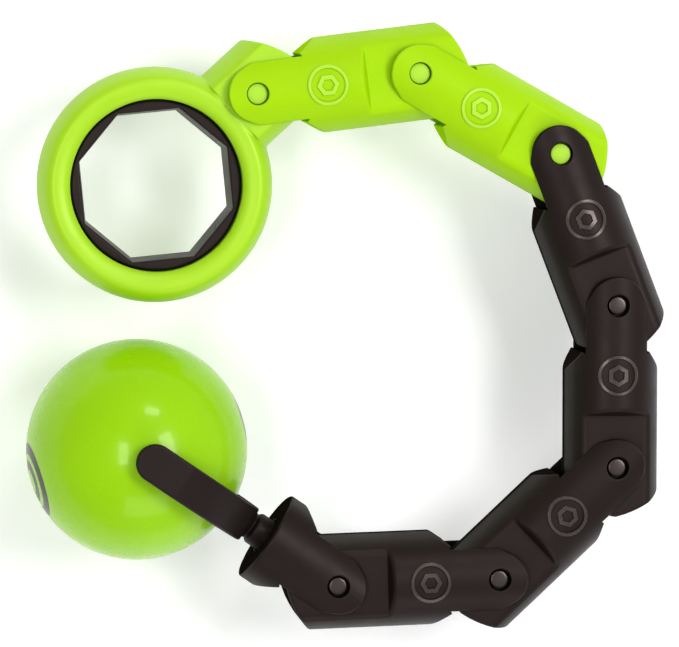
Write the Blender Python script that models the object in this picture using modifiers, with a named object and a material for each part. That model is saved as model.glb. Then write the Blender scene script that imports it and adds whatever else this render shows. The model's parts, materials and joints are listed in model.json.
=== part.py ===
"""Posable hinge-chain hand toy: a ring with a turning octagon liner, six round links and a yoked ball.

The chain lies in the XY plane.  Its hinge axes are parallel to Z.  Every link is a round bar, split at
the chain plane into a front and a back shell.  A link's head has two ears, and the tail of the piece
before it is a flat-sided tongue between them, held by a pin.  The last piece is a cup, in which the
neck of a yoke turns, and a ball spins between the yoke's arms.
"""
import math

import bmesh
import bpy
from mathutils import Matrix, Vector

MM = 0.001

# Chain: bar size, hinge spacing and the rest pose as the heading of each piece in degrees.
BAR_R = 13.0 * MM
PITCH = 44.0 * MM
RING_HEADING = 42.5
LINK_HEADINGS = (7.0, -29.5, -69.0, -90.0, -137.0, -178.5)
CUP_HEADING = -214.5
GREEN_LINKS = 2
RING_CENTRE = (-52.16 * MM, 38.92 * MM)
RING_TO_PIN = 36.25 * MM
CUP_PIN_TO_BALL = 64.7 * MM

# Running gaps.
GAP = 0.3 * MM
SPLIT = GAP / 2

# Hinge: a tongue with flats at +-TONGUE_Z turns in the slot between two ears.
TONGUE_Z = 9.3 * MM
TONGUE_END_R = 16.0 * MM
TONGUE_REACH = 13.8 * MM
TONGUE_WALL = 13.9 * MM
SLOT_Z = TONGUE_Z + GAP
SLOT_R = 15.6 * MM
EAR_R = 7.7 * MM
EAR_HALF = 8.5 * MM
EAR_CORNER = 0.5 * MM
SHOULDER_START = 11.7 * MM
SHOULDER_END = 17.7 * MM
PIN_R = 2.7 * MM
PIN_HALF = 11.0 * MM
PIN_CHAMFER = 0.3 * MM
PIN_BORE_R = PIN_R + GAP
EAR_HOLE_R = 3.1 * MM

# Hollows inside the shells.
WALL = 2.0 * MM
BODY_POCKET = (17.4 * MM, 28.4 * MM)
BOSS_R = 4.8 * MM
TONGUE_POCKET_R = 9.8 * MM
TONGUE_POCKET_Z = 7.2 * MM
POST_X = 22.9 * MM
POST_Y = 6.0 * MM
POST_R = 2.3 * MM
PEG_R = 1.2 * MM
PEG_LENGTH = 2.0 * MM
SOCKET_R = PEG_R + GAP
SOCKET_DEPTH = 2.8 * MM

# Ring and liner.
RING_R = 31.65 * MM
RING_CROWN_R = 27.3 * MM
RING_HALF = 9.5 * MM
RING_LIP_Z = 7.4 * MM
LINER_SEAT_R = 23.1 * MM
GROOVE_R = 24.8 * MM
GROOVE_HALF = 1.5 * MM
LINER_R = LINER_SEAT_R - GAP
LINER_HALF = 5.6 * MM
FLANGE_R = GROOVE_R - GAP
FLANGE_HALF = GROOVE_HALF - GAP
OCTAGON_R = 20.7 * MM
OCTAGON_SIDES = 8
OCTAGON_TURN = 28.0
RING_POCKET = (26.4 * MM, 29.4 * MM, 7.0 * MM)

# Cup, yoke and ball.
CUP_END = 22.6 * MM
CUP_CAVITY = (16.8 * MM, 20.6 * MM)
CUP_CAVITY_R = 8.3 * MM
CUP_BORE_R = 5.7 * MM
NECK_R = 4.55 * MM
NECK_FLANGE_R = 7.7 * MM
NECK_FLANGE = (17.2 * MM, 20.2 * MM)
BALL_R = 29.8 * MM
BALL_WALL = 2.6 * MM
YOKE_TURN = 1.8  # degrees that the yoke and ball are swivelled in the rest pose
ARM_INNER_R = 31.0 * MM
ARM_PAD_Z = 34.2 * MM
ARM_OFFSET = 2.4 * MM
ARM_BACK_R = 35.8 * MM
ARM_BACK_OFFSET = 0.8 * MM
ARM_HALF = 5.1 * MM
AXLE_R = 1.5 * MM
AXLE_HALF = 32.6 * MM
AXLE_BORE_R = AXLE_R + GAP
AXLE_TUBE_R = 4.0 * MM
AXLE_SOCKET_END = AXLE_HALF + GAP

# Facets: sides of round solids, steps of turned ones, and pieces or degrees along the drawn arcs.
BAR_SIDES = 28
SLOT_SIDES = 36
BORE_SIDES = 12
DETAIL_SIDES = 8
CUP_SIDES = 20
RING_STEPS = 36
RING_OUTER_STEP = 22.5
RING_INNER_STEP = 45.0
BALL_STEPS = 24
BALL_OUTER_ARC = 9
BALL_INNER_ARC = 6
EAR_ARC = 8
TONGUE_ARC = 8
STRAP_TIP_ARC = 10
STRAP_OUTER_ARC = 18
STRAP_INNER_ARC = 20
SHARP_DEGREES = 30.0
WELD = 0.001 * MM

GREEN = (0.36, 0.79, 0.01)
BALL_GREEN = (0.33, 0.74, 0.01)
BLACK = (0.022, 0.019, 0.019)
STEEL = (0.55, 0.55, 0.56)

REACH = 40.0 * MM


# ---------------------------------------------------------------- scene, collections and materials
def clear_scene():
    for item in list(bpy.data.objects):
        bpy.data.objects.remove(item, do_unlink=True)


def new_collection(name):
    group = bpy.data.collections.new(name)
    bpy.context.scene.collection.children.link(group)
    return group


def new_material(name, colour, roughness, metallic=0.0):
    material = bpy.data.materials.new(name)
    material.use_nodes = True
    shader = material.node_tree.nodes["Principled BSDF"]
    shader.inputs["Base Color"].default_value = (*colour, 1.0)
    shader.inputs["Roughness"].default_value = roughness
    shader.inputs["Metallic"].default_value = metallic
    return material


clear_scene()
PARTS = new_collection("hinge_chain_toy")
CUTTERS = new_collection("cutters")
GREEN_PLASTIC = new_material("green_plastic", GREEN, 0.4)
BLACK_PLASTIC = new_material("black_plastic", BLACK, 0.45)
BALL_PAINT = new_material("ball_paint", BALL_GREEN, 0.12)
AXLE_STEEL = new_material("axle_steel", STEEL, 0.3, 1.0)


# ---------------------------------------------------------------- solids
def add_object(name, mesh, group=CUTTERS):
    item = bpy.data.objects.new(name, mesh)
    group.objects.link(item)
    if group is CUTTERS:
        item.hide_render = True
        item.display_type = "WIRE"
    return item


def box(name, low, high):
    """A box between two corners."""
    low, high = Vector(low), Vector(high)
    size = high - low
    frame = Matrix.Translation((low + high) / 2) @ Matrix.Diagonal((*size, 1.0))
    mesh = bpy.data.meshes.new(name)
    bm = bmesh.new()
    bmesh.ops.create_cube(bm, size=1.0, matrix=frame)
    bm.to_mesh(mesh)
    bm.free()
    return add_object(name, mesh)


def cylinder(name, radius, start, end, axis="Z", centre=(0.0, 0.0), sides=BORE_SIDES):
    """A cylinder along X or Z between two stations; centre holds its other two coordinates."""
    turn = Matrix.Rotation(math.radians(90.0), 4, "Y") if axis == "X" else Matrix.Identity(4)
    middle = (start + end) / 2
    place = (middle, *centre) if axis == "X" else (*centre, middle)
    half_step = Matrix.Rotation(math.pi / sides, 4, "Z")
    mesh = bpy.data.meshes.new(name)
    bm = bmesh.new()
    bmesh.ops.create_cone(bm, cap_ends=True, segments=sides, radius1=radius, radius2=radius,
                          depth=end - start, matrix=Matrix.Translation(place) @ turn @ half_step)
    bm.to_mesh(mesh)
    bm.free()
    return add_object(name, mesh)


def baked(name, source, group=CUTTERS):
    """The evaluated mesh of an object, welded, as a new object; the source is removed."""
    graph = bpy.context.evaluated_depsgraph_get()
    mesh = bpy.data.meshes.new_from_object(source.evaluated_get(graph))
    bm = bmesh.new()
    bm.from_mesh(mesh)
    bmesh.ops.remove_doubles(bm, verts=bm.verts, dist=WELD)
    bm.to_mesh(mesh)
    bm.free()
    item = add_object(name, mesh, group)
    item.matrix_world = source.matrix_world.copy()
    bpy.data.objects.remove(source, do_unlink=True)
    return item


def outline_solid(name, points, half_height):
    """A flat outline in XY, extruded the same distance to both sides of the plane."""
    curve = bpy.data.curves.new(name, "CURVE")
    curve.dimensions = "2D"
    curve.fill_mode = "BOTH"
    curve.extrude = half_height
    spline = curve.splines.new("POLY")
    spline.points.add(len(points) - 1)
    for point, (x, y) in zip(spline.points, points):
        point.co = (x, y, 0.0, 1.0)
    spline.use_cyclic_u = True
    return baked(name, add_object(name + "_curve", curve))


def turned(name, profile, steps):
    """A closed (radius, height) profile, listed down its outer side, turned once about Z."""
    mesh = bpy.data.meshes.new(name)
    count = len(profile)
    mesh.from_pydata([(r, 0.0, z) for r, z in profile], [(i, (i + 1) % count) for i in range(count)], [])
    item = add_object(name + "_profile", mesh)
    screw = item.modifiers.new("turn", "SCREW")
    screw.steps = steps
    screw.render_steps = steps
    screw.use_merge_vertices = True
    screw.merge_threshold = WELD
    return baked(name, item)


def arc(centre, radius, first, last, pieces):
    """Points on a circle, from the first to the last angle in degrees."""
    angles = [math.radians(first + (last - first) * i / pieces) for i in range(pieces + 1)]
    return [(centre[0] + radius * math.cos(a), centre[1] + radius * math.sin(a)) for a in angles]


def combine(item, other, operation):
    step = item.modifiers.new(operation.lower(), "BOOLEAN")
    step.operation = operation
    step.solver = "EXACT"
    step.object = other


def cut(item, *others):
    for other in others:
        combine(item, other, "DIFFERENCE")


def finish_part(item, name, material):
    """Name a finished solid, move it to the parts and give it its material and smooth sides."""
    item.name = name
    for group in list(item.users_collection):
        group.objects.unlink(item)
    PARTS.objects.link(item)
    item.hide_render = False
    item.display_type = "TEXTURED"
    item.data.materials.clear()
    item.data.materials.append(material)
    item.data.shade_smooth()
    item.data.set_sharp_from_angle(angle=math.radians(SHARP_DEGREES))
    return item


def placed(item, frame):
    item.matrix_world = frame
    return item


# ---------------------------------------------------------------- places along the chain
def heading_vector(degrees):
    return Vector((math.cos(math.radians(degrees)), math.sin(math.radians(degrees)), 0.0))


def piece_frame(origin, heading, roll=0.0):
    """A piece's own frame: X along the chain, rolled about X, by 180 degrees for a back or right half."""
    turn = Matrix.Rotation(math.radians(heading), 4, "Z")
    return Matrix.Translation(origin) @ turn @ Matrix.Rotation(math.radians(roll), 4, "X")


def chain_pivots():
    """The seven hinge centres, from the ring to the cup."""
    pivots = [Vector((*RING_CENTRE, 0.0)) + RING_TO_PIN * heading_vector(RING_HEADING)]
    for heading in LINK_HEADINGS:
        pivots.append(pivots[-1] + PITCH * heading_vector(heading))
    return pivots


# ---------------------------------------------------------------- hinge geometry
def ear_outline():
    """The upper half of a head's outline: from the shoulder's end to the round end of the ear."""
    corner = (-EAR_CORNER, EAR_HALF)
    corner_angle = math.degrees(math.atan2(corner[1], corner[0]))
    tangent = corner_angle + math.degrees(math.acos(EAR_R / math.hypot(*corner)))
    slope = (BAR_R - EAR_HALF) / (SHOULDER_END - SHOULDER_START)
    side = BAR_R + 2 * GAP
    shoulder = [(SHOULDER_START + (side - EAR_HALF) / slope, side), (SHOULDER_START, EAR_HALF), corner]
    return shoulder, arc((0.0, 0.0), EAR_R, tangent, 360.0 - tangent, EAR_ARC)


def mirrored(points):
    return [(x, -y) for x, y in reversed(points)]


def tongue_end(pin_x):
    """The crowned end of a tongue, from its lower to its upper side."""
    side = BAR_R + 2 * GAP
    angle = math.degrees(math.asin(side / TONGUE_END_R))
    return arc((pin_x + TONGUE_REACH - TONGUE_END_R, 0.0), TONGUE_END_R, -angle, angle, TONGUE_ARC)


def tongue_flats(pin_x, low_x):
    """Two cutters that leave the tongue between its flats."""
    top = box("flat_front", (low_x, -REACH, TONGUE_Z), (pin_x + REACH, REACH, REACH))
    bottom = box("flat_back", (low_x, -REACH, -REACH), (pin_x + REACH, REACH, -TONGUE_Z))
    return top, bottom


def tongue_pocket(pin_x, top):
    """The hollow of a tongue, which leaves a boss around the pin's bore."""
    profile = [(TONGUE_POCKET_R, top), (TONGUE_POCKET_R, -top), (BOSS_R, -top), (BOSS_R, top)]
    return placed(turned("tongue_pocket", profile, BORE_SIDES), Matrix.Translation((pin_x, 0.0, 0.0)))


def head_cutters():
    """The slot that a tongue turns in, and the pin's hole through both ears."""
    slot = cylinder("slot", SLOT_R, -SLOT_Z, SLOT_Z, sides=SLOT_SIDES)
    hole = cylinder("ear_hole", EAR_HOLE_R, -REACH, REACH)
    return slot, hole


def hinge_pin_mesh():
    edge = PIN_R - PIN_CHAMFER
    shank = PIN_HALF - PIN_CHAMFER
    profile = [(0.0, PIN_HALF), (edge, PIN_HALF), (PIN_R, shank),
               (PIN_R, -shank), (edge, -PIN_HALF), (0.0, -PIN_HALF)]
    return turned("hinge_pin", profile, BORE_SIDES)


# ---------------------------------------------------------------- links
def link_shell():
    """The front shell of a link; turned over about X it is the back shell."""
    shoulder, ear_end = ear_outline()
    outline = shoulder + ear_end + mirrored(shoulder) + tongue_end(PITCH)
    shell = cylinder("link_shell", BAR_R, -REACH, PITCH + REACH, "X", sides=BAR_SIDES)
    combine(shell, outline_solid("link_outline", outline, REACH), "INTERSECT")
    cut(shell, *head_cutters())
    cut(shell, *tongue_flats(PITCH, PITCH - TONGUE_WALL))
    cut(shell, cylinder("pin_bore", PIN_BORE_R, -REACH, REACH, centre=(PITCH, 0.0)))
    cut(shell, cylinder("body_pocket", BAR_R - WALL, *BODY_POCKET, "X", sides=BAR_SIDES))
    cut(shell, tongue_pocket(PITCH, TONGUE_POCKET_Z))
    cut(shell, box("back_half", (-REACH, -REACH, -REACH), (PITCH + REACH, REACH, SPLIT)))
    roof = BAR_R - WALL / 2
    post_top = math.sqrt(roof ** 2 - (POST_Y + POST_R) ** 2)
    for side in (1, -1):
        post = cylinder("post", POST_R, SPLIT, post_top, centre=(POST_X, side * POST_Y),
                        sides=DETAIL_SIDES)
        combine(shell, post, "UNION")
    peg = cylinder("peg", PEG_R, -PEG_LENGTH, 2 * PEG_R, centre=(POST_X, POST_Y), sides=DETAIL_SIDES)
    combine(shell, peg, "UNION")
    socket = cylinder("socket", SOCKET_R, -REACH, SOCKET_DEPTH, centre=(POST_X, -POST_Y),
                      sides=DETAIL_SIDES)
    cut(shell, socket)
    return baked("link_shell_master", shell)


def build_links(pivots):
    master = link_shell()
    for number, heading in enumerate(LINK_HEADINGS, start=1):
        material = GREEN_PLASTIC if number <= GREEN_LINKS else BLACK_PLASTIC
        for side, roll in (("front", 0.0), ("back", 180.0)):
            shell = add_object(f"link_{number}_{side}_shell", master.data.copy())
            finish_part(shell, shell.name, material)
            placed(shell, piece_frame(pivots[number - 1], heading, roll))
    bpy.data.objects.remove(master, do_unlink=True)


def build_hinge_pins(pivots):
    """Each pin has the colour of the tongue that it is pressed into."""
    master = hinge_pin_mesh()
    for number, pivot in enumerate(pivots, start=1):
        material = GREEN_PLASTIC if number <= GREEN_LINKS + 1 else BLACK_PLASTIC
        pin = add_object(f"hinge_pin_{number}", master.data.copy())
        finish_part(pin, pin.name, material)
        placed(pin, Matrix.Translation(pivot))
    bpy.data.objects.remove(master, do_unlink=True)


# ---------------------------------------------------------------- ring and liner
def ring_profile():
    """The front half of the ring's section, from the crown down the outer side."""
    outer = [(RING_CROWN_R + (RING_R - RING_CROWN_R) * math.sin(a), RING_HALF * math.cos(a))
             for a in (math.radians(RING_OUTER_STEP * i) for i in range(4))]
    inner_drop = RING_HALF - RING_LIP_Z
    inner_width = RING_CROWN_R - LINER_SEAT_R
    inner = [(RING_CROWN_R - inner_width * math.sin(a), RING_LIP_Z + inner_drop * math.cos(a))
             for a in (math.radians(RING_INNER_STEP * i) for i in (2, 1))]
    seat = [(GROOVE_R, SPLIT), (GROOVE_R, GROOVE_HALF), (LINER_SEAT_R, GROOVE_HALF)]
    return outer + [(RING_R, SPLIT)] + seat + inner


def ring_shell():
    """The front shell of the ring with its tongue, in the ring's own frame: X to the first hinge."""
    shell = turned("ring_shell", ring_profile(), RING_STEPS)
    stub = cylinder("ring_stub", BAR_R, RING_CROWN_R, RING_TO_PIN + REACH, "X", sides=BAR_SIDES)
    side = BAR_R + 2 * GAP
    outline = [(0.0, side), (0.0, -side)] + tongue_end(RING_TO_PIN)
    combine(stub, outline_solid("stub_outline", outline, REACH), "INTERSECT")
    cut(stub, *tongue_flats(RING_TO_PIN, 0.0))
    cut(stub, box("stub_back", (0.0, -REACH, -REACH), (RING_TO_PIN + REACH, REACH, SPLIT)))
    combine(shell, stub, "UNION")
    low, high, top = RING_POCKET
    pocket = turned("ring_pocket", [(high, top), (high, -top), (low, -top), (low, top)], RING_STEPS)
    cut(shell, pocket, tongue_pocket(RING_TO_PIN, TONGUE_POCKET_Z))
    cut(shell, cylinder("ring_pin_bore", PIN_BORE_R, -REACH, REACH, centre=(RING_TO_PIN, 0.0)))
    return baked("ring_shell_master", shell)


def build_ring():
    centre = Vector((*RING_CENTRE, 0.0))
    master = ring_shell()
    for side, roll in (("front", 0.0), ("back", 180.0)):
        shell = add_object(f"ring_{side}_shell", master.data.copy())
        finish_part(shell, shell.name, GREEN_PLASTIC)
        placed(shell, piece_frame(centre, RING_HEADING, roll))
    bpy.data.objects.remove(master, do_unlink=True)
    profile = [(LINER_R, LINER_HALF), (LINER_R, FLANGE_HALF), (FLANGE_R, FLANGE_HALF),
               (FLANGE_R, -FLANGE_HALF), (LINER_R, -FLANGE_HALF), (LINER_R, -LINER_HALF),
               (0.0, -LINER_HALF), (0.0, LINER_HALF)]
    liner = turned("liner_disc", profile, RING_STEPS)
    hole = cylinder("octagon", OCTAGON_R, -REACH, REACH, sides=OCTAGON_SIDES)
    corner_turn = math.radians(OCTAGON_TURN) - math.pi / OCTAGON_SIDES
    hole.matrix_world = Matrix.Rotation(corner_turn, 4, "Z")
    cut(liner, hole)
    liner = finish_part(baked("ring_liner", liner), "ring_liner", BLACK_PLASTIC)
    placed(liner, Matrix.Translation(centre))


# ---------------------------------------------------------------- cup, yoke and ball
def cup_half():
    """The left half of the cup, split along its axis; turned over about X it is the right half."""
    shoulder, ear_end = ear_outline()
    side = BAR_R + 2 * GAP
    outline = shoulder + ear_end + mirrored(shoulder) + [(CUP_END, -side), (CUP_END, side)]
    cup = cylinder("cup", BAR_R, -REACH, CUP_END + REACH, "X", sides=BAR_SIDES)
    combine(cup, outline_solid("cup_outline", outline, REACH), "INTERSECT")
    cut(cup, *head_cutters())
    cut(cup, cylinder("cup_cavity", CUP_CAVITY_R, *CUP_CAVITY, "X", sides=CUP_SIDES))
    cut(cup, cylinder("cup_bore", CUP_BORE_R, CUP_CAVITY[0] + WALL, REACH, "X", sides=CUP_SIDES))
    cut(cup, box("cup_right", (-REACH, -REACH, -REACH), (REACH, SPLIT, REACH)))
    return baked("cup_half_master", cup)


def build_cup(pivot):
    master = cup_half()
    for side, roll in (("left", 0.0), ("right", 180.0)):
        half = add_object(f"swivel_cup_{side}", master.data.copy())
        finish_part(half, half.name, BLACK_PLASTIC)
        placed(half, piece_frame(pivot, CUP_HEADING, roll))
    bpy.data.objects.remove(master, do_unlink=True)


def yoke_strap():
    """The bent strap around the ball, with flat pads on its arms; X points away from the chain."""
    pad_angle = 180.0 - math.degrees(math.asin(ARM_PAD_Z / ARM_BACK_R))
    outer = arc((-ARM_BACK_OFFSET, 0.0), ARM_BACK_R, pad_angle, 360.0 - pad_angle, STRAP_OUTER_ARC)
    inner = arc((-ARM_OFFSET, 0.0), ARM_INNER_R, 270.0, 90.0, STRAP_INNER_ARC)
    tip_x = ARM_HALF
    outline = outer + [(tip_x, -ARM_PAD_Z), (tip_x, -ARM_INNER_R)]
    outline += inner + [(tip_x, ARM_INNER_R), (tip_x, ARM_PAD_Z)]
    strap = outline_solid("strap_side", outline, ARM_HALF)
    strap.matrix_world = Matrix.Rotation(math.radians(90.0), 4, "X")
    return strap


def build_yoke(ball_centre):
    """Strap, neck and retaining flange in one piece."""
    yoke = yoke_strap()
    side = ARM_HALF + GAP
    plan = [(-REACH, side), (-REACH, -side), (-ARM_OFFSET, -side)]
    plan += arc((-ARM_OFFSET, 0.0), ARM_HALF, -90.0, 90.0, STRAP_TIP_ARC) + [(-ARM_OFFSET, side)]
    combine(yoke, outline_solid("strap_plan", plan, REACH), "INTERSECT")
    base = -(ARM_OFFSET + ARM_INNER_R + ARM_BACK_OFFSET + ARM_BACK_R) / 2
    flange_low, flange_high = (x - CUP_PIN_TO_BALL for x in NECK_FLANGE)
    neck = cylinder("neck", NECK_R, flange_low + GAP, base, "X", sides=CUP_SIDES)
    combine(yoke, neck, "UNION")
    flange = cylinder("neck_flange", NECK_FLANGE_R, flange_low, flange_high, "X", sides=CUP_SIDES)
    combine(yoke, flange, "UNION")
    cut(yoke, cylinder("axle_sockets", AXLE_BORE_R, -AXLE_SOCKET_END, AXLE_SOCKET_END))
    yoke = finish_part(baked("swivel_yoke", yoke), "swivel_yoke", BLACK_PLASTIC)
    placed(yoke, piece_frame(ball_centre, CUP_HEADING, YOKE_TURN) @ yoke.matrix_world)


def ball_half():
    """The front half of the hollow ball, with a tube around the axle."""
    outer = arc((0.0, 0.0), BALL_R, 90.0, 0.0, BALL_OUTER_ARC)
    inner_r = BALL_R - BALL_WALL
    outer = [(r, z) for r, z in outer if r > AXLE_BORE_R and z > SPLIT]
    top = math.sqrt(BALL_R ** 2 - AXLE_BORE_R ** 2)
    inner = arc((0.0, 0.0), inner_r, 0.0, 90.0, BALL_INNER_ARC)
    inner = [(r, z) for r, z in inner if r > AXLE_TUBE_R and z > SPLIT]
    inner_top = math.sqrt(inner_r ** 2 - AXLE_TUBE_R ** 2)
    profile = [(AXLE_BORE_R, top)] + outer + [(BALL_R, SPLIT), (inner_r, SPLIT)] + inner
    profile += [(AXLE_TUBE_R, inner_top), (AXLE_TUBE_R, SPLIT), (AXLE_BORE_R, SPLIT)]
    return turned("ball_half", profile, BALL_STEPS)


def build_ball(ball_centre):
    master = ball_half()
    for side, roll in (("front", 0.0), ("back", 180.0)):
        half = add_object(f"ball_{side}_half", master.data.copy())
        finish_part(half, half.name, BALL_PAINT)
        placed(half, piece_frame(ball_centre, CUP_HEADING, roll + YOKE_TURN))
    bpy.data.objects.remove(master, do_unlink=True)
    axle = cylinder("ball_axle", AXLE_R, -AXLE_HALF, AXLE_HALF)
    finish_part(axle, "ball_axle", AXLE_STEEL)
    placed(axle, piece_frame(ball_centre, CUP_HEADING, YOKE_TURN))


# ---------------------------------------------------------------- assembly
def build():
    pivots = chain_pivots()
    ball_centre = pivots[-1] + CUP_PIN_TO_BALL * heading_vector(CUP_HEADING)
    build_ring()
    build_links(pivots)
    build_hinge_pins(pivots)
    build_cup(pivots[-1])
    build_yoke(ball_centre)
    build_ball(ball_centre)


build()
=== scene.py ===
"""Looks of the posable hinge-chain hand toy: ring, liner, six links, cup, yoke and ball.

The moulded pieces are signed fields, negative inside, in the millimetres of a piece's own frame: X runs
along the chain and Z along the hinge pins.  A field is meshed on a grid, thinned, drawn back onto its
surface and given the field's own normals, which keeps the small moulded edge radii smooth.  Turned
pieces are lathed profiles, and the raised emblems follow the round bar that they stand on.
"""
import json
import math

import bmesh
import bpy
import numpy as np
from mathutils import Matrix, Vector


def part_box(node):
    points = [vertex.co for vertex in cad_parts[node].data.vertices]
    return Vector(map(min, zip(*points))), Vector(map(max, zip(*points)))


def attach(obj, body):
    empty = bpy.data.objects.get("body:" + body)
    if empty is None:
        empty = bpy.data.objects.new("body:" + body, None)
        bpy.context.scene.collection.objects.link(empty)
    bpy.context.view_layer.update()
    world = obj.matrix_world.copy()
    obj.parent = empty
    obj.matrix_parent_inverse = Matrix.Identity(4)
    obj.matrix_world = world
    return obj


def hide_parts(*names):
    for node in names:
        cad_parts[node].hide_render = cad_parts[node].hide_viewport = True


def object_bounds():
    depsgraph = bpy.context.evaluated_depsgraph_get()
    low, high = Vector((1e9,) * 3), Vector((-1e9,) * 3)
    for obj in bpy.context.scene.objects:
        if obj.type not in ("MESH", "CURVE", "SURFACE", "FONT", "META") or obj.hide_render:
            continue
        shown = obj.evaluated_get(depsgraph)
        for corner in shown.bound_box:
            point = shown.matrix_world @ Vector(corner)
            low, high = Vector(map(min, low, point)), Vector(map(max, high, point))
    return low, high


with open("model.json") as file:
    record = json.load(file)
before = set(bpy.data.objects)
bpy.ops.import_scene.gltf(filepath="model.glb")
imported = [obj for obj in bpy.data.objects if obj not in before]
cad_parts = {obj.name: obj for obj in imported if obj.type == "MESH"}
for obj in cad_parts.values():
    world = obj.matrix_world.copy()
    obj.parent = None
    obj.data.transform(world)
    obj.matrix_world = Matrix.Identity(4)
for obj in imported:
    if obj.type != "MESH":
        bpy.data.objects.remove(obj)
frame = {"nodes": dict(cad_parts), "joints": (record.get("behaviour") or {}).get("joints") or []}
CAD_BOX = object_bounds()
MM = 0.001

# ---------------------------------------------------------------- places, from the frame
PLACES = {joint["name"]: Vector(joint["pos_m"]) for joint in frame["joints"]}
PIVOTS = [PLACES[f"hinge_{number}"] for number in range(1, 8)]
RING_CENTRE = PLACES["liner_spin"]
BALL_CENTRE = PLACES["ball_spin"]
BALL_AXIS = next(Vector(joint["axis"]) for joint in frame["joints"] if joint["name"] == "ball_spin")
LINK_COUNT = len(PIVOTS) - 1
GREEN_LINKS = 2
PITCH = (PIVOTS[1] - PIVOTS[0]).length / MM
RING_TO_PIN = (PIVOTS[0] - RING_CENTRE).length / MM
CUP_PIN_TO_BALL = (BALL_CENTRE - PIVOTS[-1]).length / MM
BAR_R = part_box("link_1_front_shell")[1].z / MM
FLOOR_Z = CAD_BOX[0].z

# ---------------------------------------------------------------- sizes in millimetres and degrees
# The usual rounding, half the gap at a seam, and the room left around a field's surface.
EDGE = 0.35
SEAM = 0.03
MARGIN = 1.0

# Hinge: the tongue, the slot for it, the ear's outline seen along the pin, and the pin.  TONGUE_TIP is
# the radius of the end's two arcs and how far past the axis their centres lie.
TONGUE_Z = 9.4
SLOT_Z = 9.55
SLOT_R = 15.6
TONGUE_REACH = 13.8
TONGUE_TIP = (27.0, 5.5)
TONGUE_WALL = 13.9
TONGUE_CORNER = 0.4
WALL_LEAN = 22.0
WALL_EDGE = 0.9
EAR_R = 7.7
EAR_SLANT = 118.6
EAR_SIDE = 9.2
EAR_HOLE_R = 3.0
SHOULDER_START = (11.7, 8.5)
SHOULDER_SLOPE = 36.87
PIN_R = {"green": 2.75, "black": 2.4}
PIN_HALF = 11.3
PIN_EASE = 0.25
PIN_DOME = 0.12

# Hollows: a body's start, end and radius; a tongue's boss, wall and height; a ring's radii and height.
BODY_POCKET = (17.4, 28.4, 11.0)
TONGUE_POCKET = (4.8, 9.8, 7.2)
RING_POCKET = (26.4, 29.4, 7.0)

# Emblem: a plain ring around a hexagon nut shape, each with its inner and outer radius.
EMBLEM_X = 18.9
EMBLEM_RISE = 0.45
EMBLEM_FOOT = -0.4
EMBLEM_SHOULDER = 0.62 * EMBLEM_RISE
EMBLEM_BEVEL = 0.14
EMBLEM_RING = (4.55, 5.5)
EMBLEM_NUT = (1.7, 3.1)

# Ring and liner: GROOVE and LINER_FLANGE are a radius and a half height, OCTAGON_APOTHEM is back and front.
RING_R = 31.65
RING_CROWN_R = 27.3
RING_HALF = 9.5
RING_LIP_Z = 7.4
LINER_SEAT_R = 23.1
GROOVE = (24.8, 1.5)
STUB_START = 28.2
STUB_FILLET = 0.5
LINER_R = 22.8
LINER_HALF = 5.6
LINER_FLANGE = (24.5, 1.2)
LINER_EDGE = 0.7
OCTAGON_APOTHEM = (19.12, 19.95)
OCTAGON_TURN = 5.5
OCTAGON_SIDES = 8

# Cup, yoke and ball: NECK_WAIST is its depth, its distance from the strap and its half width.
CUP_END = 22.6
CUP_MOUTH_EDGE = 0.7
CUP_CAVITY = (16.8, 20.6, 8.3)
CUP_BORE_R = 5.3
BORE_OVERLAP = 1.0
NECK_R = 4.55
NECK_WAIST = (0.9, 0.8, 0.7)
NECK_FLANGE = (17.2, 20.2, 7.7)
ARM_INNER_R = 31.0
ARM_PAD_Z = 34.2
ARM_OFFSET = 2.4
ARM_BACK_R = 35.8
ARM_BACK_OFFSET = 0.8
ARM_HALF = 5.1
ARM_EDGE = 0.7
BALL_R = 29.8
BALL_WALL = 2.6
BALL_EASE = 0.25
AXLE_BORE_R = 1.8

# Print on the ball: the radii of its two bands, its direction from the cup's axis and its rise.
PRINT_BANDS = ((1.0, 5.0), (6.8, 9.8))
PRINT_ANGLE = 50.0
PRINT_RISE = 6.0
INK = (0.012, 0.011, 0.010)

# Meshing: the grid's step and the share of triangles kept for most pieces; how near, in metres, counts
# as one place and as on the seam; the steps of a small arc.
LINK_STEP, LINK_SHARE = 0.3, 0.15
SAME_PLACE = 1e-7
ON_SEAM = 1e-6
ARC_STEPS = 4

# Scales of the plastic's noises, per metre.
DRIFT_SCALE = 55.0
PATCH_SCALE = 900.0
SMUDGE_SCALE = 160.0
SCRATCH_SCALE = (160.0, 1500.0, 1500.0)
GRAIN_SCALE = 4200.0
WAVE_SCALE = 120.0
RAGGED_SCALE = 700.0

# Studio: each softbox's place in metres, its two sizes and its power; the sky from -X to +X.
SOFTBOXES = {
    "left": ((-0.51, 0.0, 1.41), (0.6, 0.25), 5.0),
    "right": ((0.66, 0.24, 1.32), (0.6, 0.36), 9.0),
    "top": ((0.26, 1.05, 1.05), (0.36, 0.23), 3.2),
    "front": ((0.1, -1.2, 0.8), (1.0, 0.6), 4.0),
}
SKY_STRENGTH = (0.38, 0.60)
FLOOR_SIZE = 6.0
FLOOR_GAP = 0.0002
FLOOR_GLOW = 0.2

# Camera: what it looks at, from the ring's centre in millimetres, how far off it is in metres, its turn
# in degrees, and its lens and sensor in millimetres.
TARGET_FROM_RING = (50.07, -37.89, 0.0)
CAMERA_DISTANCE = 1.1377
CAMERA_TURN = (-4.199, -6.938, 0.0)
CAMERA_LENS = 222.7
CAMERA_SENSOR = 36.0


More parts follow.
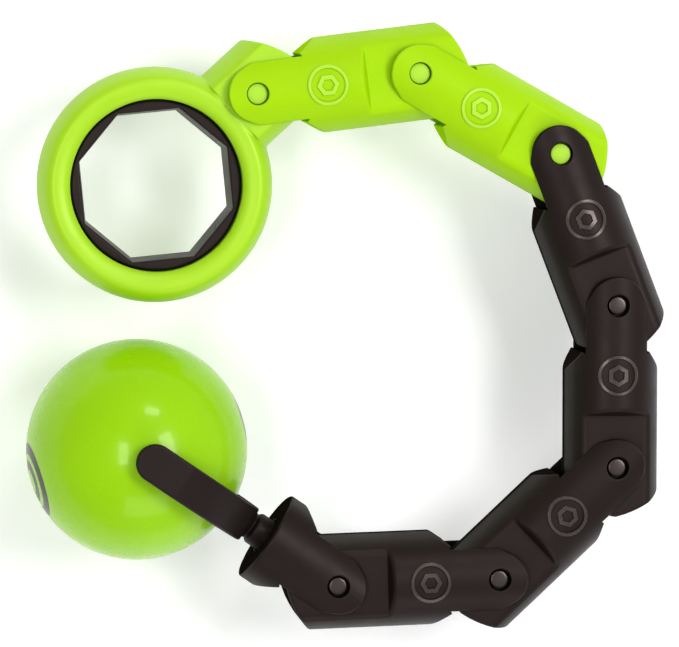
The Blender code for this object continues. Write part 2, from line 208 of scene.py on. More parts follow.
# ---------------------------------------------------------------- fields
def both(a, b, radius=0.0):
    """Inside both fields, with a round edge."""
    return (np.minimum(-radius, np.maximum(a, b))
            + np.hypot(np.maximum(radius + a, 0.0), np.maximum(radius + b, 0.0)))


def either(a, b, radius=0.0):
    """Inside one of the fields, with a fillet between them."""
    return -both(-a, -b, radius)


def without(a, b, radius=0.0):
    """Inside the first field and outside the second, with a round edge."""
    return both(a, -b, radius)


def head_plan(x, y):
    """A head seen along its pin: the ear's round end, its slanted flanks, then the two shoulders."""
    side = np.abs(y)
    slant = math.radians(EAR_SLANT)
    slope = math.radians(SHOULDER_SLOPE)
    flank = x * math.cos(slant) + side * math.sin(slant) - EAR_R
    beyond = x * math.sin(slant) - side * math.cos(slant) > 0.0
    ear = np.where(beyond, flank, np.hypot(x, y) - EAR_R)
    start_x, start_y = SHOULDER_START
    shoulder = (side - start_y) * math.cos(slope) - (x - start_x) * math.sin(slope)
    return np.maximum(ear, np.minimum(side - EAR_SIDE, shoulder))


def headed_bar(x, y, z):
    """A round bar whose low end is a slotted head with two ears and a pin hole."""
    radial = np.hypot(x, y)
    bar = both(np.hypot(y, z) - BAR_R, head_plan(x, y), EDGE)
    bar = without(bar, np.maximum(radial - SLOT_R, np.abs(z) - SLOT_Z), EDGE)
    return without(bar, radial - EAR_HOLE_R, EDGE)


def tongue_tip(x, y, pin_x):
    """A tongue's end: two flat arcs that meet in a blunt point on the bar's axis."""
    radius, beyond = TONGUE_TIP
    centre = pin_x + TONGUE_REACH - math.sqrt(radius ** 2 - beyond ** 2)
    return np.hypot(np.maximum(x - centre, 0.0), np.abs(y) + beyond) - radius


def tongue_hollow(x, y, z, pin_x):
    """The hollow around the boss of a tongue's pin."""
    boss, wall, top = TONGUE_POCKET
    radial = np.hypot(x - pin_x, y)
    return np.maximum(np.maximum(radial - wall, boss - radial), np.abs(z) - top)


def beside_tongue(x, z, wall_x):
    """What is cut away on both sides of a tongue: above its flats, up to a wall that leans back."""
    lean = math.radians(WALL_LEAN)
    height = np.abs(z) - TONGUE_Z
    wall = (wall_x - x) * math.cos(lean) - height * math.sin(lean)
    return both(wall, -height, EDGE)


def link_field(x, y, z):
    """A hollow link from its ears at 0 to the tongue at the next pin."""
    link = both(headed_bar(x, y, z), tongue_tip(x, y, PITCH), TONGUE_CORNER)
    link = without(link, beside_tongue(x, z, PITCH - TONGUE_WALL), WALL_EDGE)
    start, end, pocket_r = BODY_POCKET
    pocket = np.maximum(np.hypot(y, z) - pocket_r, np.maximum(start - x, x - end))
    link = np.maximum(link, -pocket)
    return np.maximum(link, -tongue_hollow(x, y, z, PITCH))


def cup_field(x, y, z):
    """The cup: ears at 0, and a bore and a wider cavity for the yoke's neck and flange."""
    across = np.hypot(y, z)
    cup = both(headed_bar(x, y, z), x - CUP_END, CUP_MOUTH_EDGE)
    start, end, cavity_r = CUP_CAVITY
    cup = np.maximum(cup, -np.maximum(across - cavity_r, np.maximum(start - x, x - end)))
    return without(cup, np.maximum(across - CUP_BORE_R, start + BORE_OVERLAP - x), EDGE)


def oval(u, v, half_u, half_v):
    """Near distance to an ellipse."""
    scaled = np.hypot(u / half_u, v / half_v)
    steep = np.maximum(np.hypot(u / half_u ** 2, v / half_v ** 2), 1e-6)
    return scaled * (scaled - 1.0) / steep


def ring_section(radial, z):
    """The ring's section: a tall outer curve, and a low inner one down to the liner's seat."""
    height = np.abs(z)
    outer = oval(radial - RING_CROWN_R, height, RING_R - RING_CROWN_R, RING_HALF)
    lip = oval(RING_CROWN_R - radial, np.maximum(height - RING_LIP_Z, 0.0),
               RING_CROWN_R - LINER_SEAT_R, RING_HALF - RING_LIP_Z)
    return np.where(radial > RING_CROWN_R, outer, lip)


def ring_field(x, y, z):
    """The ring with its groove for the liner, and the tongue that carries the first pin."""
    radial = np.hypot(x, y)
    stub = both(np.hypot(y, z) - BAR_R, tongue_tip(x, y, RING_TO_PIN), TONGUE_CORNER)
    stub = both(stub, np.abs(z) - TONGUE_Z, EDGE)
    stub = both(stub, STUB_START - x, EDGE)
    ring = either(ring_section(radial, z), stub, STUB_FILLET)
    ring = np.maximum(ring, LINER_SEAT_R - radial)
    groove_r, groove_half = GROOVE
    ring = np.maximum(ring, -np.maximum(radial - groove_r, np.abs(z) - groove_half))
    low, high, top = RING_POCKET
    ring = np.maximum(ring, -np.maximum(np.maximum(low - radial, radial - high), np.abs(z) - top))
    return np.maximum(ring, -tongue_hollow(x, y, z, RING_TO_PIN))


def octagon(x, y, z):
    """The liner's hole, which widens towards the front."""
    back, front = OCTAGON_APOTHEM
    apothem = back + (front - back) * np.clip(z / (2 * LINER_HALF) + 0.5, 0.0, 1.0)
    turns = [math.radians(OCTAGON_TURN + 360.0 / OCTAGON_SIDES * side) for side in range(OCTAGON_SIDES)]
    return np.maximum.reduce([x * math.cos(turn) + y * math.sin(turn) for turn in turns]) - apothem


def liner_field(x, y, z):
    """A disc with a flange that runs in the ring's groove, and an octagon hole."""
    radial = np.hypot(x, y)
    liner = both(radial - LINER_R, np.abs(z) - LINER_HALF, LINER_EDGE)
    flange_r, flange_half = LINER_FLANGE
    liner = np.minimum(liner, both(radial - flange_r, np.abs(z) - flange_half, EDGE))
    return without(liner, octagon(x, y, z), LINER_EDGE)


def yoke_field(x, y, z):
    """The strap around the ball, its neck and the flange held in the cup; X points from cup to ball."""
    inner = np.hypot(np.minimum(x + ARM_OFFSET, 0.0), z) - ARM_INNER_R
    outer = np.hypot(np.minimum(x + ARM_BACK_OFFSET, 0.0), z) - ARM_BACK_R
    tips = np.hypot(np.maximum(x + ARM_OFFSET, 0.0), y) - ARM_HALF
    strap = both(np.maximum(outer, np.abs(z) - ARM_PAD_Z), -inner, ARM_EDGE)
    strap = both(strap, tips, ARM_EDGE)
    flange_low, flange_high, flange_r = NECK_FLANGE
    across = np.hypot(y, z)
    base = -(ARM_OFFSET + ARM_INNER_R + ARM_BACK_OFFSET + ARM_BACK_R) / 2
    neck_low = flange_low - CUP_PIN_TO_BALL
    depth, away, width = NECK_WAIST
    waist_x = -ARM_BACK_OFFSET - ARM_BACK_R - away
    neck_r = NECK_R - depth * np.exp(-((x - waist_x) / width) ** 2)
    neck = np.maximum(across - neck_r, np.maximum(neck_low - x, x - base))
    flange = both(across - flange_r, np.maximum(neck_low - x, x - flange_high + CUP_PIN_TO_BALL), EDGE)
    return np.minimum(either(strap, neck, EDGE), flange)


# ---------------------------------------------------------------- meshes from fields
def grid_surface(field, low, high, step):
    """Points and quads of a field's surface: one point in each grid cell that the surface crosses."""
    axes = [np.arange(start, end + step, step) for start, end in zip(low, high)]
    value = field(*np.meshgrid(*axes, indexing="ij"))
    cells = np.array(value.shape) - 1
    quads, places = [], []
    for axis in range(3):
        u, v = (axis + 1) % 3, (axis + 2) % 3
        near, far = [slice(None)] * 3, [slice(None)] * 3
        near[axis], far[axis] = slice(0, -1), slice(1, None)
        first, second = value[tuple(near)], value[tuple(far)]
        edges = np.argwhere((first < 0.0) != (second < 0.0))
        inner = (edges[:, [u, v]] > 0).all(1) & (edges[:, [u, v]] < cells[[u, v]]).all(1)
        edges = edges[inner]
        start, end = first[tuple(edges.T)], second[tuple(edges.T)]
        crossing = np.array([axes[k][0] for k in range(3)]) + step * edges
        crossing[:, axis] += step * start / (start - end)
        around = []
        for shift_u, shift_v in ((0, 0), (1, 0), (1, 1), (0, 1)):
            cell = edges.copy()
            cell[:, u] -= shift_u
            cell[:, v] -= shift_v
            around.append(np.ravel_multi_index(cell.T, cells))
        quad = np.stack(around, 1)
        quad[start > 0.0] = quad[start > 0.0][:, ::-1]
        quads.append(quad)
        places.append(np.repeat(crossing, 4, axis=0))
    quads, places = np.concatenate(quads), np.concatenate(places)
    index = np.unique(quads.ravel(), return_inverse=True)[1]
    count = np.bincount(index)
    points = np.stack([np.bincount(index, weights=places[:, k]) / count for k in range(3)], 1)
    return points, index.reshape(-1, 4)


def slope_of(field, points, reach=0.01):
    """The field's gradient at each point."""
    slope = np.empty_like(points)
    for axis in range(3):
        step = np.zeros(3)
        step[axis] = reach
        slope[:, axis] = (field(*(points + step).T) - field(*(points - step).T)) / (2 * reach)
    return slope


def drawn_onto(field, points, rounds=5, longest=0.15):
    """The points, moved along the field's slope until they lie on its surface."""
    points = points.copy()
    for _ in range(rounds):
        slope = slope_of(field, points)
        move = slope * (field(*points.T) / np.maximum((slope ** 2).sum(1), 1e-4))[:, None]
        length = np.linalg.norm(move, axis=1, keepdims=True)
        points -= move * np.minimum(1.0, longest / np.maximum(length, 1e-9))
    return points


def thinned(mesh, share):
    """The mesh with that share of its triangles, fewer where it is flat."""
    item = bpy.data.objects.new("thinning", mesh)
    bpy.context.scene.collection.objects.link(item)
    modifier = item.modifiers.new("thin", "DECIMATE")
    modifier.ratio = share
    graph = bpy.context.evaluated_depsgraph_get()
    result = bpy.data.meshes.new_from_object(item.evaluated_get(graph))
    bpy.data.objects.remove(item, do_unlink=True)
    return result


def halved(mesh, seam_axis):
    """Cuts away what lies below the seam on that axis and closes the cut with flat faces."""
    normal = Vector((0.0, 0.0, 0.0))
    normal[seam_axis] = -1.0
    bm = bmesh.new()
    bm.from_mesh(mesh)
    geometry = bm.verts[:] + bm.edges[:] + bm.faces[:]
    bmesh.ops.bisect_plane(bm, geom=geometry, plane_co=-normal * SEAM * MM, plane_no=normal,
                           dist=SAME_PLACE, clear_outer=True)
    rim = [edge for edge in bm.edges if edge.is_boundary]
    bmesh.ops.triangle_fill(bm, edges=rim, normal=normal, use_beauty=True)
    bm.to_mesh(mesh)
    bm.free()


def field_mesh(name, field, low, high, step=LINK_STEP, share=LINK_SHARE, seam_axis=None):
    """A closed smooth mesh of a field, or of its half above the seam."""
    points, quads = grid_surface(field, low, high, step)
    mesh = bpy.data.meshes.new(name)
    mesh.from_pydata((drawn_onto(field, points) * MM).tolist(), [], quads.tolist())
    mesh = thinned(mesh, share)
    mesh.name = name
    points = np.empty(len(mesh.vertices) * 3)
    mesh.vertices.foreach_get("co", points)
    points = drawn_onto(field, points.reshape(-1, 3) / MM)
    mesh.vertices.foreach_set("co", (points * MM).ravel())
    if seam_axis is not None:
        halved(mesh, seam_axis)
    set_field_normals(mesh, field, seam_axis)
    return mesh


def set_field_normals(mesh, field, seam_axis):
    """Each corner takes the field's normal, except on the flat faces of the seam."""
    mesh.shade_smooth()
    points = np.empty(len(mesh.vertices) * 3)
    mesh.vertices.foreach_get("co", points)
    slope = slope_of(field, points.reshape(-1, 3) / MM)
    slope /= np.maximum(np.linalg.norm(slope, axis=1, keepdims=True), 1e-9)
    corner_point = np.empty(len(mesh.loops), np.int32)
    mesh.loops.foreach_get("vertex_index", corner_point)
    normals = slope[corner_point]
    if seam_axis is not None:
        for face in mesh.polygons:
            if face.normal[seam_axis] < -0.999 and abs(face.center[seam_axis] - SEAM * MM) < ON_SEAM:
                normals[face.loop_indices] = face.normal
    mesh.normals_split_custom_set(normals.tolist())


# ---------------------------------------------------------------- turned and raised meshes
def turned(name, profile, steps=96, sharp=35.0):
    """A closed (radius, height) profile in millimetres turned about Z; a zero radius is a pole."""
    bm = bmesh.new()
    rings = []
    for radius, height in profile:
        count = steps if radius > 0.0 else 1
        angles = [2 * math.pi * i / steps for i in range(count)]
        rings.append([bm.verts.new((radius * math.cos(a) * MM, radius * math.sin(a) * MM, height * MM))
                      for a in angles])
    closed = profile[0][0] > 0.0
    pairs = list(zip(rings, rings[1:] + rings[:1]))
    for upper, lower in pairs if closed else pairs[:-1]:
        for i in range(steps):
            j = (i + 1) % steps
            corners = [upper[i % len(upper)], lower[i % len(lower)],
                       lower[j % len(lower)], upper[j % len(upper)]]
            corners = [c for k, c in enumerate(corners) if c not in corners[:k]]
            bm.faces.new(corners)
    bmesh.ops.recalc_face_normals(bm, faces=bm.faces)
    mesh = bpy.data.meshes.new(name)
    bm.to_mesh(mesh)
    bm.free()
    mesh.shade_smooth()
    mesh.set_sharp_from_angle(angle=math.radians(sharp))
    return mesh


def raised_band(bm, inner, outer, sides, steps=72):
    """A raised closed band around the emblem's centre on the bar; with sides, a polygon's outline."""
    section = [(outer, EMBLEM_FOOT), (outer, EMBLEM_SHOULDER), (outer - EMBLEM_BEVEL, EMBLEM_RISE),
               (inner + EMBLEM_BEVEL, EMBLEM_RISE), (inner, EMBLEM_SHOULDER), (inner, EMBLEM_FOOT)]
    rings = []
    for step in range(steps):
        angle = 2 * math.pi * step / steps
        part = (angle % (2 * math.pi / sides)) - math.pi / sides if sides else 0.0
        reach = math.cos(math.pi / sides) / math.cos(part) if sides else 1.0
        ring = []
        for radius, rise in section:
            x, y = radius * reach * math.cos(angle), radius * reach * math.sin(angle)
            height = math.sqrt(BAR_R ** 2 - y ** 2) + rise
            ring.append(bm.verts.new(((EMBLEM_X + x) * MM, y * MM, height * MM)))
        rings.append(ring)
    for step, ring in enumerate(rings):
        following = rings[(step + 1) % steps]
        for k in range(len(section)):
            n = (k + 1) % len(section)
            bm.faces.new((ring[k], following[k], following[n], ring[n]))


def emblem_mesh():
    """A ring and a hexagon nut that stand proud of a link's round front."""
    bm = bmesh.new()
    raised_band(bm, *EMBLEM_RING, sides=0)
    raised_band(bm, *EMBLEM_NUT, sides=6)
    bmesh.ops.recalc_face_normals(bm, faces=bm.faces)
    mesh = bpy.data.meshes.new("emblem")
    bm.to_mesh(mesh)
    bm.free()
    mesh.shade_smooth()
    mesh.set_sharp_from_angle(angle=math.radians(25.0))
    return mesh


def pin_mesh(radius, dome_steps=6):
    """A pin with slightly domed ends and eased rims."""
    end = [(radius * k / dome_steps, PIN_HALF - PIN_DOME * (k / dome_steps) ** 2) for k in range(dome_steps)]
    for k in range(ARC_STEPS + 1):
        angle = math.pi / 2 * k / ARC_STEPS
        end.append((radius - PIN_EASE * (1 - math.sin(angle)),
                    PIN_HALF - PIN_DOME - PIN_EASE * (1 - math.cos(angle))))
    return turned("hinge_pin", end + [(r, -z) for r, z in reversed(end)], steps=64)


def ball_mesh(outer_steps=48, inner_steps=16):
    """The front half of the hollow ball, with an eased seam and a bore at its pole."""
    top = math.acos(AXLE_BORE_R / BALL_R)
    low = math.asin((SEAM + BALL_EASE) / BALL_R)
    outer = [(BALL_R * math.cos(a), BALL_R * math.sin(a))
             for a in (top + (low - top) * k / outer_steps for k in range(outer_steps + 1))]
    inner_r = BALL_R - BALL_WALL
    inner_top = math.acos(AXLE_BORE_R / inner_r)
    inner = [(inner_r * math.cos(a), max(inner_r * math.sin(a), SEAM))
             for a in (inner_top * k / inner_steps for k in range(inner_steps + 1))]
    return turned("ball_half", outer + [(BALL_R - BALL_EASE, SEAM)] + inner, steps=160)


# ---------------------------------------------------------------- materials
class Nodes:
    """A short way to write a node tree around one Principled shader."""

    def __init__(self, name):
        self.material = bpy.data.materials.new(name)
        self.material.use_nodes = True
        self.tree = self.material.node_tree
        self.shader = self.tree.nodes["Principled BSDF"]

    def add(self, kind, inputs=(), **settings):
        """A new node with its inputs, each a value or another node's socket."""
        node = self.tree.nodes.new(kind)
        for key, value in settings.items():
            setattr(node, key, value)
        for key, value in dict(inputs).items():
            self.feed(node.inputs[key], value)
        return node

    def feed(self, socket, value):
        if isinstance(value, bpy.types.NodeSocket):
            self.tree.links.new(value, socket)
        else:
            socket.default_value = value

    def math(self, operation, *values):
        return self.add("ShaderNodeMath", dict(enumerate(values)), operation=operation).outputs[0]

    def noise(self, vector, scale, detail=3.0, roughness=0.55):
        inputs = {"Vector": vector, "Scale": scale, "Detail": detail, "Roughness": roughness}
        return self.add("ShaderNodeTexNoise", inputs).outputs[0]

    def ramp(self, value, low, high, to_low=0.0, to_high=1.0):
        inputs = {"Value": value, "From Min": low, "From Max": high, "To Min": to_low, "To Max": to_high}
        return self.add("ShaderNodeMapRange", inputs).outputs[0]

    def blend(self, factor, first, second):
        node = self.add("ShaderNodeMix", data_type="RGBA")
        for socket, value in zip((node.inputs[0], node.inputs[6], node.inputs[7]), (factor, first, second)):
            self.feed(socket, value)
        return node.outputs[2]


def moulded_plastic(name, colour, edge_wear_and_sheen_colour, darker, roughness, grain=0.0, coat=0.0, edge_wear_and_sheen=0.4,
                    specular=0.5, tint=(1.0, 1.0, 1.0), corner_shade=0.9, side_gloss=0.0):
    """Moulded plastic: slow colour drift, painted shade in inside corners, satin grain, scratches, and edges
    that turn paler in patches as light wear and as a painted edge highlight.

    Faces that look along the chain's plane keep only the side_gloss share of their gloss.
    """
    nodes = Nodes(name)
    place = nodes.add("ShaderNodeTexCoord").outputs["Object"]

    drift = nodes.ramp(nodes.noise(place, DRIFT_SCALE), 0.35, 0.65)
    base = nodes.blend(drift, (*darker, 1.0), (*colour, 1.0))
    # Edges turn paler in patches: partly light wear, partly a painted edge highlight.
    rounded = nodes.add("ShaderNodeBevel", {"Radius": 0.7 * MM}, samples=4).outputs[0]
    true_normal = nodes.add("ShaderNodeNewGeometry").outputs["Normal"]
    facing = nodes.add("ShaderNodeVectorMath", {0: rounded, 1: true_normal}, operation="DOT_PRODUCT")
    edge_wear_and_sheen_mask = nodes.ramp(facing.outputs["Value"], 0.995, 0.90)
    patchy = nodes.ramp(nodes.noise(place, PATCH_SCALE, 4.0), 0.35, 0.6)
    edge = nodes.math("MULTIPLY", edge_wear_and_sheen_mask, nodes.math("MULTIPLY", patchy, edge_wear_and_sheen))
    base = nodes.blend(edge, base, (*edge_wear_and_sheen_colour, 1.0))
    # Painted shade: the colour darkens towards a deep tone of itself where ambient occlusion finds inside
    # corners, the feet of walls and gaps between parts.
    occlusion = nodes.add("ShaderNodeAmbientOcclusion", {"Distance": 5.0 * MM}, samples=6).outputs["AO"]
    corner_shade_mask = nodes.ramp(occlusion, 0.85, 0.45, 0.0, corner_shade)
    base = nodes.blend(corner_shade_mask, base, (0.25 * colour[0], 0.35 * colour[1], 0.3 * colour[2], 1.0))
    nodes.feed(nodes.shader.inputs["Base Color"], base)

    stretched = nodes.add("ShaderNodeMapping", {"Vector": place, "Rotation": (0.3, 0.2, 0.6),
                                                "Scale": SCRATCH_SCALE}).outputs[0]
    scratch = nodes.ramp(nodes.noise(stretched, 1.0, 2.0), 0.68, 0.8)
    smudge = nodes.ramp(nodes.noise(place, SMUDGE_SCALE, 5.0, 0.65), 0.3, 0.7, -0.05, 0.05)
    rough = nodes.math("ADD", nodes.math("ADD", smudge, roughness), nodes.math("MULTIPLY", scratch, 0.12))
    nodes.feed(nodes.shader.inputs["Roughness"], rough)

    normal = nodes.add("ShaderNodeTexCoord").outputs["Normal"]
    upward = nodes.math("ABSOLUTE", nodes.add("ShaderNodeSeparateXYZ", {0: normal}).outputs["Z"])
    nodes.feed(nodes.shader.inputs["Specular IOR Level"],
               nodes.ramp(upward, 0.1, 0.45, specular * side_gloss, specular))
    nodes.feed(nodes.shader.inputs["Specular Tint"], (*tint, 1.0))
    nodes.feed(nodes.shader.inputs["Coat Weight"], coat)
    nodes.feed(nodes.shader.inputs["Coat Roughness"], 0.08)

    fine = nodes.noise(place, GRAIN_SCALE, 2.0)
    waves = nodes.noise(place, WAVE_SCALE, 2.0)
    height = nodes.math("ADD", nodes.math("MULTIPLY", fine, grain), nodes.math("MULTIPLY", waves, 0.02))
    height = nodes.math("SUBTRACT", height, nodes.math("MULTIPLY", scratch, 0.006))
    bump = nodes.add("ShaderNodeBump", {"Height": height, "Strength": 0.6, "Distance": 0.4 * MM})
    nodes.feed(nodes.shader.inputs["Normal"], bump.outputs[0])
    return nodes


def add_print(nodes):
    """A generic print of two rings around a direction on the ball, and on its far side."""
    towards = (BALL_CENTRE - PIVOTS[-1]).normalized()
    towards.rotate(Matrix.Rotation(math.radians(PRINT_ANGLE), 3, "Z"))
    towards.z = math.sin(math.radians(PRINT_RISE))
    place = nodes.add("ShaderNodeTexCoord").outputs["Object"]
    along = nodes.add("ShaderNodeVectorMath", {0: place, 1: tuple(towards)}, operation="DOT_PRODUCT")
    depth = nodes.math("DIVIDE", nodes.math("ABSOLUTE", along.outputs["Value"]), BALL_R * MM)
    ragged = nodes.math("MULTIPLY", nodes.math("SUBTRACT", nodes.noise(place, RAGGED_SCALE), 0.5), 0.004)
    depth = nodes.math("ADD", depth, ragged)
    mask = 0.0
    for inner, outer in PRINT_BANDS:
        high, low = math.cos(math.asin(inner / BALL_R)), math.cos(math.asin(outer / BALL_R))
        band = nodes.math("COMPARE", depth, (high + low) / 2, (high - low) / 2)
        mask = nodes.math("ADD", band, mask)
    base = nodes.shader.inputs["Base Color"]
    nodes.feed(base, nodes.blend(mask, base.links[0].from_socket, (*INK, 1.0)))


def make_materials():
    """The plastics: satin links, paler copies for the raised marks and pins that paint their highlights, the
    ring, the liner and the ball.
    """
    # How strongly each plastic darkens with painted shade in its inside corners is set with its other
    # settings.
    green = {"tint": (0.85, 1.0, 0.4), "corner_shade": 0.4}
    black = {"tint": (1.0, 0.82, 0.78), "edge_wear_and_sheen_colour": (0.04, 0.031, 0.030)}
    kit = {
        "green": moulded_plastic(
            "green_satin", (0.365, 0.67, 0.0015), (0.45, 0.74, 0.03), (0.345, 0.64, 0.001), 0.45, 0.05,
            specular=0.22, **green),
        # A paler copy of the green for the emblems and pin heads: a painted highlight on the raised parts.
        "green_raised": moulded_plastic(
            "green_raised", (0.44, 0.75, 0.05), (0.50, 0.79, 0.09), (0.42, 0.73, 0.04), 0.40, 0.05,
            specular=0.4, **{**green, "corner_shade": 0.2}),
        "ring": moulded_plastic(
            "ring_satin", (0.365, 0.68, 0.003), (0.47, 0.75, 0.04), (0.345, 0.65, 0.002), 0.43, 0.04,
            edge_wear_and_sheen=0.3, specular=1.0, side_gloss=0.3, **green),
        "black": moulded_plastic(
            "black_satin", (0.0132, 0.0086, 0.0080), darker=(0.0108, 0.0070, 0.0065), roughness=0.42,
            grain=0.06, specular=0.17, **black),
        "liner": moulded_plastic(
            "liner_satin", (0.0145, 0.0100, 0.0092), darker=(0.0120, 0.0082, 0.0075), roughness=0.42,
            grain=0.05, specular=0.2, corner_shade=0.4, side_gloss=1.0, **black),
        # A glossier copy of the black for the emblems and pin heads: the gloss is real, and the paler base
        # is a painted highlight.
        "black_raised": moulded_plastic(
            "black_polished_highlit", (0.028, 0.022, 0.021), darker=(0.023, 0.018, 0.017), roughness=0.30,
            grain=0.02, specular=0.6, **{**black, "edge_wear_and_sheen_colour": (0.09, 0.08, 0.077)}),
        "ball": moulded_plastic(
            "ball_lacquer", (0.31, 0.64, 0.0012), (0.36, 0.68, 0.02), (0.295, 0.61, 0.001), 0.28,
            coat=0.2, edge_wear_and_sheen=0.1, specular=0.22, tint=(0.9, 1.0, 0.5), corner_shade=0.3, side_gloss=1.0),
    }
    add_print(kit["ball"])
    return {name: nodes.material for name, nodes in kit.items()}


def steel_material():
    """Steel drawn along the axle."""
    nodes = Nodes("axle_steel_drawn")
    place = nodes.add("ShaderNodeTexCoord").outputs["Object"]
    drawn = nodes.add("ShaderNodeMapping", {"Vector": place, "Scale": (4000.0, 4000.0, 60.0)}).outputs[0]
    streak = nodes.noise(drawn, 1.0)
    nodes.feed(nodes.shader.inputs["Base Color"],
               nodes.blend(streak, (0.42, 0.42, 0.43, 1.0), (0.6, 0.6, 0.6, 1.0)))
    nodes.feed(nodes.shader.inputs["Metallic"], 1.0)
    nodes.feed(nodes.shader.inputs["Roughness"], nodes.ramp(streak, 0.0, 1.0, 0.2, 0.4))
    return nodes.material


def floor_material():
    """A matt, nearly white floor with a slight glow of its own."""
    nodes = Nodes("pale_floor")
    place = nodes.add("ShaderNodeTexCoord").outputs["Object"]
    tone = nodes.ramp(nodes.noise(place, 3.0), 0.3, 0.7)
    nodes.feed(nodes.shader.inputs["Base Color"],
               nodes.blend(tone, (0.91, 0.91, 0.915, 1.0), (0.93, 0.93, 0.935, 1.0)))
    nodes.feed(nodes.shader.inputs["Roughness"], 0.9)
    nodes.feed(nodes.shader.inputs["Specular IOR Level"], 0.1)
    nodes.feed(nodes.shader.inputs["Emission Color"], (1.0, 1.0, 1.0, 1.0))
    nodes.feed(nodes.shader.inputs["Emission Strength"], FLOOR_GLOW)
    return nodes.material


# ---------------------------------------------------------------- pieces
def frame_along(origin, direction, turned_over=False, pin_axis=Vector((0.0, 0.0, 1.0))):
    """A piece's own frame: X along the direction, turned over about X for a back or right half."""
    along = direction.normalized()
    turn = Matrix((along, pin_axis.cross(along), pin_axis)).transposed().to_4x4()
    flip = Matrix.Rotation(math.pi, 4, "X") if turned_over else Matrix.Identity(4)
    return Matrix.Translation(origin) @ turn @ flip


def show(name, mesh, material, place, body, slot, *nodes):
    """Adds a piece that rides on a body and stands for CAD nodes; its mesh takes the place's turn."""
    piece = bpy.data.objects.new(name, mesh.copy())
    piece.data.transform(place.to_3x3().to_4x4())
    piece.data.materials.clear()
    piece.data.materials.append(material)
    bpy.context.scene.collection.objects.link(piece)
    piece.location = place.to_translation()
    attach(piece, body)
    if nodes:
        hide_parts(*nodes)


def add_ring(kit):
    """The ring's two shells, and the liner between them."""
    place_x = PIVOTS[0] - RING_CENTRE
    low = (-RING_R - MARGIN, -RING_R - MARGIN, -MARGIN)
    high = (RING_TO_PIN + TONGUE_REACH + MARGIN, RING_R + MARGIN, TONGUE_Z + MARGIN)
    mesh = field_mesh("ring_shell", ring_field, low, high, step=0.4, share=0.2, seam_axis=2)
    for side, over in (("front", False), ("back", True)):
        show(f"ring_{side}", mesh, kit["ring"], frame_along(RING_CENTRE, place_x, over),
             "ring", "green_plastic", f"ring_{side}_shell")
    reach = LINER_FLANGE[0] + MARGIN
    liner = field_mesh("liner", liner_field, (-reach, -reach, -LINER_HALF - MARGIN),
                       (reach, reach, LINER_HALF + MARGIN), step=0.35, share=0.15)
    show("liner", liner, kit["liner"], Matrix.Translation(RING_CENTRE), "liner", "black_plastic",
         "ring_liner")


def add_links(kit):
    """Two shells and two emblems for each link, all from one mesh of each."""
    low = (-EAR_R - MARGIN, -BAR_R - MARGIN, -MARGIN)
    high = (PITCH + TONGUE_REACH + MARGIN, BAR_R + MARGIN, BAR_R + MARGIN)
    shell = field_mesh("link_shell", link_field, low, high, seam_axis=2)
    emblem = emblem_mesh()
    for number in range(1, LINK_COUNT + 1):
        green = number <= GREEN_LINKS
        body, slot = f"link_{number}", "green_plastic" if green else "black_plastic"
        direction = PIVOTS[number] - PIVOTS[number - 1]
        for side, over in (("front", False), ("back", True)):
            place = frame_along(PIVOTS[number - 1], direction, over)
            show(f"{body}_{side}", shell, kit["green" if green else "black"], place, body, slot,
                 f"{body}_{side}_shell")
            show(f"{body}_{side}_emblem", emblem, kit["green_raised" if green else "black_raised"],
                 place, body, slot)


def add_pins(kit):
    """Each pin rides on, and has the colour of, the piece whose tongue it is pressed into."""
    pins = {colour: pin_mesh(radius) for colour, radius in PIN_R.items()}
    for number, pivot in enumerate(PIVOTS, start=1):
        colour = "green" if number <= GREEN_LINKS + 1 else "black"
        body = "ring" if number == 1 else f"link_{number - 1}"
        show(f"pin_{number}", pins[colour], kit[f"{colour}_raised"], Matrix.Translation(pivot), body,
             f"{colour}_plastic", f"hinge_pin_{number}")


def add_cup_and_yoke(kit):
    """The cup's two halves, and the yoke whose neck turns in them."""
    direction = BALL_CENTRE - PIVOTS[-1]
    low = (-EAR_R - MARGIN, -MARGIN, -BAR_R - MARGIN)
    high = (CUP_END + MARGIN, BAR_R + MARGIN, BAR_R + MARGIN)
    cup = field_mesh("cup_half", cup_field, low, high, seam_axis=1)
    for side, over in (("left", False), ("right", True)):
        show(f"cup_{side}", cup, kit["black"], frame_along(PIVOTS[-1], direction, over), "cup",
             "black_plastic", f"swivel_cup_{side}")
    low = (NECK_FLANGE[0] - CUP_PIN_TO_BALL - MARGIN, -NECK_FLANGE[2] - MARGIN, -ARM_PAD_Z - MARGIN)
    high = (ARM_HALF, NECK_FLANGE[2] + MARGIN, ARM_PAD_Z + MARGIN)
    yoke = field_mesh("yoke", yoke_field, low, high, step=0.35, share=0.3)
    place = frame_along(BALL_CENTRE, direction, pin_axis=BALL_AXIS)
    show("yoke", yoke, kit["black"], place, "yoke", "black_plastic", "swivel_yoke")


def add_ball(kit):
    """The ball's two halves.  The axle keeps its CAD mesh and gets its steel."""
    direction = BALL_CENTRE - PIVOTS[-1]
    half = ball_mesh()
    for side, over in (("front", False), ("back", True)):
        place = frame_along(BALL_CENTRE, direction, over, BALL_AXIS)
        show(f"ball_{side}", half, kit["ball"], place, "ball", "ball_paint", f"ball_{side}_half")
    axle = frame["nodes"]["ball_axle"].data
    axle.materials.clear()
    axle.materials.append(steel_material())


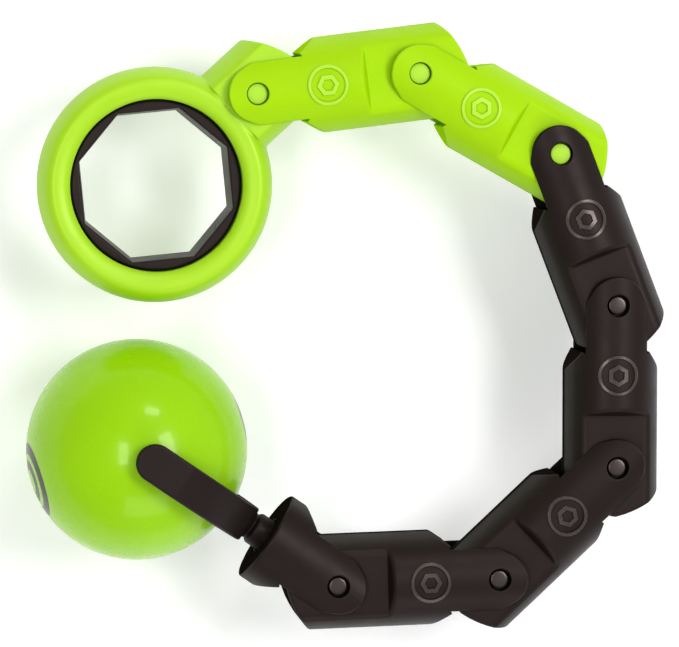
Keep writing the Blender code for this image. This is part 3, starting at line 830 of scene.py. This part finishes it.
# ---------------------------------------------------------------- stage
def add_floor():
    bpy.ops.mesh.primitive_plane_add(size=FLOOR_SIZE, location=(0.0, 0.0, FLOOR_Z - FLOOR_GAP))
    floor = bpy.context.object
    floor.name = "floor"
    floor.data.materials.append(floor_material())


def add_softbox(name, location, size, power):
    """A rectangular light that faces the origin."""
    light = bpy.data.lights.new(name, "AREA")
    light.shape = "RECTANGLE"
    light.size, light.size_y = size
    light.energy = power
    item = bpy.data.objects.new(name, light)
    bpy.context.scene.collection.objects.link(item)
    item.location = location
    item.rotation_euler = (-Vector(location)).to_track_quat("-Z", "Y").to_euler()


def add_lights():
    """The softboxes, and a white sky that is brighter towards +X."""
    for name, (location, size, power) in SOFTBOXES.items():
        add_softbox(name, location, size, power)
    world = bpy.data.worlds.new("studio")
    world.use_nodes = True
    tree = world.node_tree
    direction = tree.nodes.new("ShaderNodeTexCoord").outputs["Generated"]
    split = tree.nodes.new("ShaderNodeSeparateXYZ")
    side = tree.nodes.new("ShaderNodeMapRange")
    tree.links.new(direction, split.inputs[0])
    tree.links.new(split.outputs["X"], side.inputs["Value"])
    for socket, value in zip(side.inputs[1:5], (-1.0, 1.0, *SKY_STRENGTH)):
        socket.default_value = value
    background = tree.nodes["Background"]
    background.inputs["Color"].default_value = (1.0, 1.0, 1.0, 1.0)
    tree.links.new(side.outputs[0], background.inputs["Strength"])
    bpy.context.scene.world = world


def add_camera():
    """Nearly straight down on the toy, from a little above left of it."""
    target = RING_CENTRE + Vector(TARGET_FROM_RING) * MM
    camera = bpy.data.cameras.new("camera")
    camera.lens = CAMERA_LENS
    camera.sensor_width = CAMERA_SENSOR
    item = bpy.data.objects.new("camera", camera)
    bpy.context.scene.collection.objects.link(item)
    item.rotation_euler = [math.radians(turn) for turn in CAMERA_TURN]
    item.location = target + item.rotation_euler.to_matrix() @ Vector((0.0, 0.0, CAMERA_DISTANCE))
    bpy.context.scene.camera = item


def build():
    bpy.context.scene.view_settings.view_transform = "Standard"
    kit = make_materials()
    add_ring(kit)
    add_links(kit)
    add_pins(kit)
    add_cup_and_yoke(kit)
    add_ball(kit)
    add_floor()
    add_lights()
    add_camera()


build()
